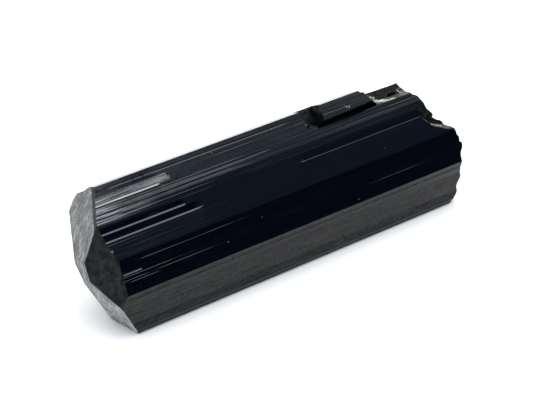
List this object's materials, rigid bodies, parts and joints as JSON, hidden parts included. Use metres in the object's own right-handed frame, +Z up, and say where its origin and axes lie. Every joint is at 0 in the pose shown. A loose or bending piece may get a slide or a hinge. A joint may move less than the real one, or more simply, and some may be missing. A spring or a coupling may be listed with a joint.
{
  "type": "tourmaline crystal",
  "caption": "Black tourmaline (schorl) crystal lying down: a striated prism with a complete pointed tip and a broken end.",
  "frame": {"origin": "middle of the bounding box's base, in the plane that the crystal lies on", "axes": "+X runs along the prism from the tip to the broken end, +Z up, the wide dark prism face looks towards -Y"},
  "size_m": [0.0532, 0.0126, 0.0147],
  "materials": {
    "tourmaline": "glossy"
  },
  "bodies": {
    "root": {"tourmaline_crystal": "tourmaline"}
  },
  "joints": []
}
